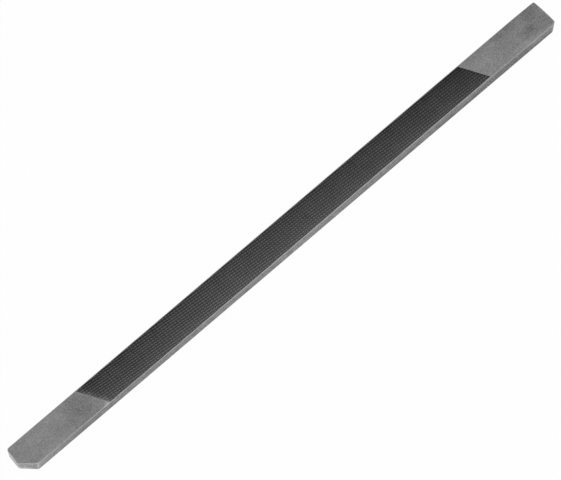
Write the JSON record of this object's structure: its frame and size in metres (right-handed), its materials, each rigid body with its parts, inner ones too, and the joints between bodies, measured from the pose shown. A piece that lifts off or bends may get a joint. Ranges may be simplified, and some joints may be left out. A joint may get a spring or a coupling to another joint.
{
  "type": "flat file",
  "caption": "Slim flat file of hardened steel with a plain skewed end, a plain square end and crossed teeth cut in its wide faces.",
  "frame": {"origin": "middle of the footprint, at the level that the file rests on", "axes": "+X along the file towards its square end, +Y across it, +Z out of the upper wide face"},
  "size_m": [0.2, 0.0092, 0.0035],
  "materials": {
    "steel": "satin, ground plain ends and sides, darker teeth"
  },
  "bodies": {
    "root": {"file_body": "steel"}
  },
  "joints": []
}
